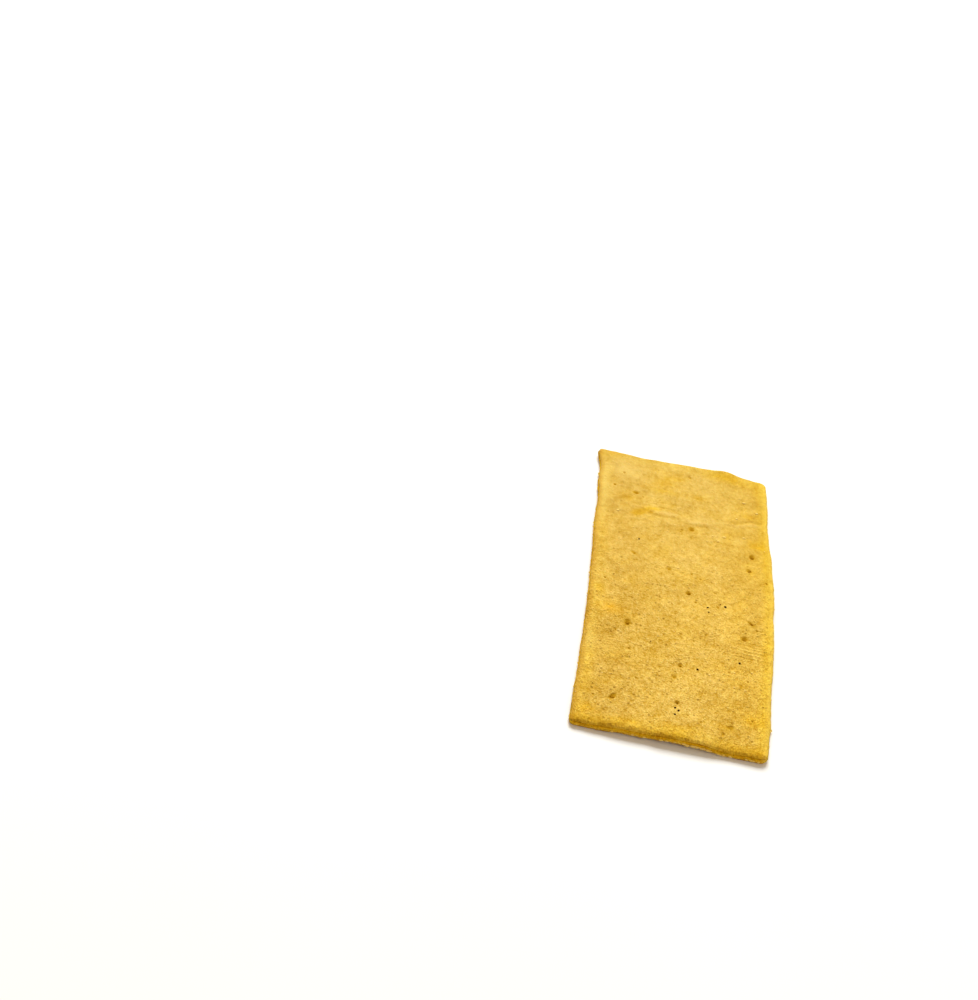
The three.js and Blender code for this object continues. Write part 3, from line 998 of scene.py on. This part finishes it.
def noise(tree, place, size_mm, detail=2.0, roughness=0.5):
    """Noise from 0 to 1 with features of about the given size."""
    sockets = {"Vector": place, "Scale": 1 / (size_mm * MM), "Detail": detail, "Roughness": roughness}
    return add(tree, "ShaderNodeTexNoise", sockets).outputs["Fac"]


def dots(tree, place, size_mm, channel, share, edge, core, strength):
    """Dots in the middles of a random share of cells of about the given size."""
    made = add(tree, "ShaderNodeTexVoronoi", {"Vector": place, "Scale": 1 / (size_mm * MM)})
    lots = add(tree, "ShaderNodeSeparateColor", {0: made.outputs["Color"]}).outputs[channel]
    dot = remap(tree, made.outputs["Distance"], edge, core, 0, strength)
    return product(tree, calculate(tree, "GREATER_THAN", lots, 1 - share), dot)


def new_material(name, roughness, gloss):
    """A new material: itself, its node tree, its shader, and the place of each point on the object."""
    material = bpy.data.materials.new(name)
    material.use_nodes = True
    tree = material.node_tree
    shader = tree.nodes["Principled BSDF"]
    shader.inputs["Roughness"].default_value = roughness
    shader.inputs["Specular IOR Level"].default_value = gloss
    return material, tree, shader, add(tree, "ShaderNodeTexCoord").outputs["Object"]


def grain_shade(tree, place, calm_and_far_shade):
    """Light and dark of the dough's grain, about a middle of 0.5."""
    shade = 0.5
    for size, detail, roughness, strength, fading in GRAIN_LAYERS:
        layer = calculate(tree, "SUBTRACT", noise(tree, place, size, detail, roughness), 0.5)
        strength_here = remap(tree, calm_and_far_shade, 0, 1, strength, strength * (1 - fading))
        shade = calculate(tree, "MULTIPLY_ADD", layer, strength_here, shade)
    return shade


def winding_lines(tree, place):
    """Thin lines where a noise passes its middle value."""
    sockets = {"Vector": place, "Scale": 1 / (LINE_WINDING * MM), "Detail": 1, "Distortion": 0.5}
    winding = add(tree, "ShaderNodeTexNoise", sockets).outputs["Fac"]
    off = calculate(tree, "ABSOLUTE", calculate(tree, "SUBTRACT", winding, 0.5))
    return remap(tree, off, LINE_WIDTH, 0, 0, LINE_DARKNESS)


def wrinkles(tree, place):
    """Painted light and shade of fine wrinkles that run across the cracker, where its face has them; the same
    bands dent the bump.
    """
    scale = 2 * math.pi / (WAVE_NODE_RATE * WRINKLE_SPACING * MM)
    sockets = {"Vector": place, "Scale": scale, "Distortion": 3, "Detail": 2, "Detail Scale": 1.5}
    waves = add(tree, "ShaderNodeTexWave", sockets, bands_direction="Y").outputs["Fac"]
    return product(tree, calculate(tree, "SUBTRACT", waves, WRINKLE_MIDDLE), fact(tree, "wrinkled"))


def shade_nodes(tree, place):
    """Light and dark of the crust's grain, with the wrinkles' painted light and shade, from 0 to 1 about a
    middle of 0.5, and its little holes, which get painted shade.
    """
    scale = (1, 1 / GRAIN_LENGTHENING, 1)
    place = add(tree, "ShaderNodeMapping", {"Vector": place, "Scale": scale}).outputs[0]
    calm_and_far_shade = fact(tree, "calm_and_far_shade")
    rough_here = remap(tree, calm_and_far_shade, 0, 1, 1, 1 - CALM_SHARE)
    lines = product(tree, winding_lines(tree, place), rough_here)
    shade = calculate(tree, "SUBTRACT", grain_shade(tree, place, calm_and_far_shade), lines)
    # Painted light and shade of the wrinkles, which also go into the bump
    shade = calculate(tree, "MULTIPLY_ADD", wrinkles(tree, place), WRINKLE_STRENGTH, shade)
    shade = calculate(tree, "MULTIPLY_ADD", dots(tree, place, *PALE_DOTS), rough_here, shade, clamp=True)
    return shade, product(tree, dots(tree, place, *HOLE_DOTS), rough_here)


def baked_colour(tree, place, colour, ragged):
    """The colour with its golden, browned, orange and pale places, and painted shade and highlight at its
    creases.
    """
    patches = remap(tree, noise(tree, place, PATCH_SIZE, detail=3), 0.45, 0.75, 0, 0.4)
    golden = calculate(tree, "ADD", fact(tree, "front"), patches)
    golden = calculate(tree, "ADD", fact(tree, "golden"), golden)
    colour = tint(tree, product(tree, golden, ragged, clamp=True), colour, GOLDEN_TINT)
    for name, shares in (("browned", BROWNED_TINT), ("orange", ORANGE_TINT)):
        colour = tint(tree, product(tree, fact(tree, name), ragged, clamp=True), colour, shares)
    colour = blend(tree, product(tree, fact(tree, "pale"), 0.5), colour, tone(*PALE_TONE))
    # Painted shade in the creases' grooves and painted highlight on their raised lips
    fold = fact(tree, "fold")
    colour = blend(tree, remap(tree, fold, 0, -0.09, 0, 0.5), colour, tone(*FOLD_SHADE_TONE))
    return blend(tree, remap(tree, fold, 0.02, 0.1, 0, 0.4), colour, tone(*FOLD_HIGHLIGHT_TONE))


def sided_colour(tree, colour, ragged):
    """The colour as it changes towards the front, the far end, the halves and the rims, with painted shade
    over the far end and painted highlight on the right rim.
    """
    front = product(tree, remap(tree, fact(tree, "front"), 0.3, 0.85), ragged)
    front = calculate(tree, "SUBTRACT", front, fact(tree, "pale"), clamp=True)
    colour = tint(tree, front, colour, FRONT_TINT)
    # Painted shade over the far end
    colour = tint(tree, fact(tree, "calm_and_far_shade"), colour, FAR_END_SHADE_TINT)
    colour = tint(tree, fact(tree, "border"), colour, BORDER_TINT)
    side = fact(tree, "side")
    # The last of these tints, on the right rim, is painted light
    for begin, full, shares in SIDE_TINTS:
        colour = tint(tree, remap(tree, side, begin, full), colour, shares)
    # Painted highlight along the right rim
    right = product(tree, remap(tree, side, 0.92, 0.97, 0, 0.5), ragged)
    colour = blend(tree, right, colour, tone(*RIGHT_RIM_HIGHLIGHT))
    left = remap(tree, side, -0.945, -0.985, 0, 0.5)
    return blend(tree, left, colour, tone(*LEFT_RIM_TONE))


def wall_colour(tree, level, shade):
    """The side wall's colour, paler at its foot, and lighter on the right with painted light."""
    colour = blend(tree, remap(tree, level, 0.05, 0.4), tone(*WALL_FOOT), tone(*WALL_MIDDLE))
    colour = blend(tree, remap(tree, shade, 0.5, 0.9, 0, 0.5), colour, tone(*WALL_LIGHT))
    colour = blend(tree, remap(tree, shade, 0.5, 0.2, 0, 0.6), colour, tone(*WALL_DARK))
    # Painted light on the wall's right side
    right = remap(tree, fact(tree, "side"), 0.93, 0.99, 0, 0.7)
    return blend(tree, right, colour, tone(*WALL_RIGHT_HIGHLIGHT))


def crust_colour(tree, place, shade, hole):
    """The colour of the whole skin: its face, its scorched underside, its side wall and its marks."""
    ragged = remap(tree, noise(tree, place, RAGGED_SIZE, detail=3, roughness=0.6), 0.25, 0.75, 0.5, 1.3)
    colour = blend(tree, shade, tone(*DOUGH_DARK), tone(*DOUGH_LIGHT))
    # Painted shade in the little holes
    colour = blend(tree, product(tree, hole, HOLE_SHADE_STRENGTH), colour, tone(*HOLE_SHADE_TONE))
    colour = baked_colour(tree, place, colour, ragged)
    colour = sided_colour(tree, colour, ragged)

    level = fact(tree, "level")
    under = remap(tree, level, 0.07, 0)
    blotches = remap(tree, noise(tree, place, SCORCH_SIZE, detail=4), 0.4, 0.7, 0, 0.9)
    colour = tint(tree, product(tree, under, blotches), colour, SCORCHED_TINT)
    wall = product(tree, remap(tree, level, 0.999, 0.9), calculate(tree, "SUBTRACT", 1, under))
    colour = blend(tree, wall, colour, wall_colour(tree, level, shade))
    # Painted shade along the seam's groove, broken in places
    gaps = remap(tree, noise(tree, place, GAP_SIZE, detail=3), 0.4, 0.6, 0.3, 0.95)
    colour = blend(tree, product(tree, fact(tree, "seam"), gaps), colour, tone(*SEAM_SHADE_TONE))

    # The marks' toasting, with painted shade on their slopes and deepest in their pin holes
    toasted = fact(tree, "toasted")
    colour = blend(tree, remap(tree, toasted, 0.05, 0.5), colour, tone(*TOAST_AND_SHADE_TONE))
    return blend(tree, remap(tree, toasted, 0.45, 0.95), colour, tone(*DEEP_MARK_SHADE_TONE))


def crust_material():
    """Sandy golden dough: mottled, browned in places, with pale grains, holes and a crumbly side wall."""
    material, tree, shader, place = new_material("baked_crust", roughness=0.8, gloss=0.06)
    shade, hole = shade_nodes(tree, place)
    tree.links.new(crust_colour(tree, place, shade, hole), shader.inputs["Base Color"])
    shader.inputs["Subsurface Weight"].default_value = 0.2
    shader.inputs["Subsurface Radius"].default_value = (1, 0.7, 0.35)
    shader.inputs["Subsurface Scale"].default_value = MM
    bumps = calculate(tree, "SUBTRACT", shade, product(tree, hole, HOLE_BUMP))
    bump = add(tree, "ShaderNodeBump", {"Height": bumps, "Strength": 1.0, "Distance": BUMP_HEIGHT})
    tree.links.new(bump.outputs["Normal"], shader.inputs["Normal"])
    return material


def blotched_material(name, blotch_mm, detail, dark, light, roughness, gloss):
    """A plain material whose colour drifts between two."""
    material, tree, shader, place = new_material(name, roughness, gloss)
    blotch = remap(tree, noise(tree, place, blotch_mm, detail), 0.3, 0.7)
    tree.links.new(blend(tree, blotch, dark, light), shader.inputs["Base Color"])
    return material


def crumb_material():
    """Pale, dry crumbs of dough."""
    return blotched_material("pale_crumb", 0.3, 2, tone(*CRUMB_DARK), tone(*CRUMB_LIGHT), 0.9, 0.06)


def speck_material():
    """Almost black toasted bran."""
    return blotched_material("toasted_bran", 0.15, 2, BRAN_DARK, BRAN_LIGHT, 0.9, 0.02)


def floor_material():
    return blotched_material("plain_floor", 60, 1, FLOOR_DARK, FLOOR_LIGHT, 0.9, 0.1)


# ---- Floor, light and camera ----

def make_floor():
    corners = [(x * FLOOR_HALF, y * FLOOR_HALF, FLOOR) for x, y in ((-1, -1), (1, -1), (1, 1), (-1, 1))]
    mesh = bpy.data.meshes.new("floor")
    mesh.from_pydata(corners, [], [(0, 1, 2, 3)])
    mesh.materials.append(floor_material())
    floor = bpy.data.objects.new("floor", mesh)
    bpy.context.scene.collection.objects.link(floor)


def area_light(name, place, width, height, power, colour):
    """A soft lamp that faces the middle of the cracker."""
    lamp = bpy.data.lights.new(name, "AREA")
    lamp.shape = "RECTANGLE"
    lamp.size = width
    lamp.size_y = height
    lamp.energy = power
    lamp.color = colour
    holder = bpy.data.objects.new(name, lamp)
    holder.location = place
    holder.rotation_euler = Vector(place).to_track_quat("Z", "Y").to_euler()
    bpy.context.scene.collection.objects.link(holder)


def make_light():
    for lamp in LAMPS:
        area_light(*lamp)
    world = bpy.data.worlds.new("studio")
    world.use_nodes = True
    background = world.node_tree.nodes["Background"]
    background.inputs["Color"].default_value = WORLD_COLOUR
    background.inputs["Strength"].default_value = WORLD_STRENGTH
    bpy.context.scene.world = world
    bpy.context.scene.view_settings.view_transform = "Standard"


def make_camera(shift):
    """The camera, placed in the sheet's plan and moved with it."""
    lens = bpy.data.cameras.new("camera")
    lens.sensor_width = SENSOR_WIDTH
    lens.lens = SENSOR_WIDTH * FOCAL_PIXELS / PICTURE_HEIGHT
    lens.clip_start = 0.01
    camera = bpy.data.objects.new("camera", lens)
    place = Vector((np.array(CAMERA_PLACE) + shift) * MM)
    turn = Matrix.Rotation(math.radians(-CAMERA_HEADING), 4, "Z")
    tilt = Matrix.Rotation(math.radians(90 - CAMERA_LOOK_DOWN), 4, "X")
    roll = Matrix.Rotation(math.radians(CAMERA_ROLL), 4, "Z")
    camera.matrix_world = Matrix.Translation(place) @ turn @ tilt @ roll
    bpy.context.scene.collection.objects.link(camera)
    bpy.context.scene.camera = camera


plan_to_frame = make_skin(crust_material())
make_crumbs(crumb_material(), plan_to_frame)
make_specks(speck_material(), plan_to_frame)
make_camera(plan_to_frame)
make_floor()
make_light()
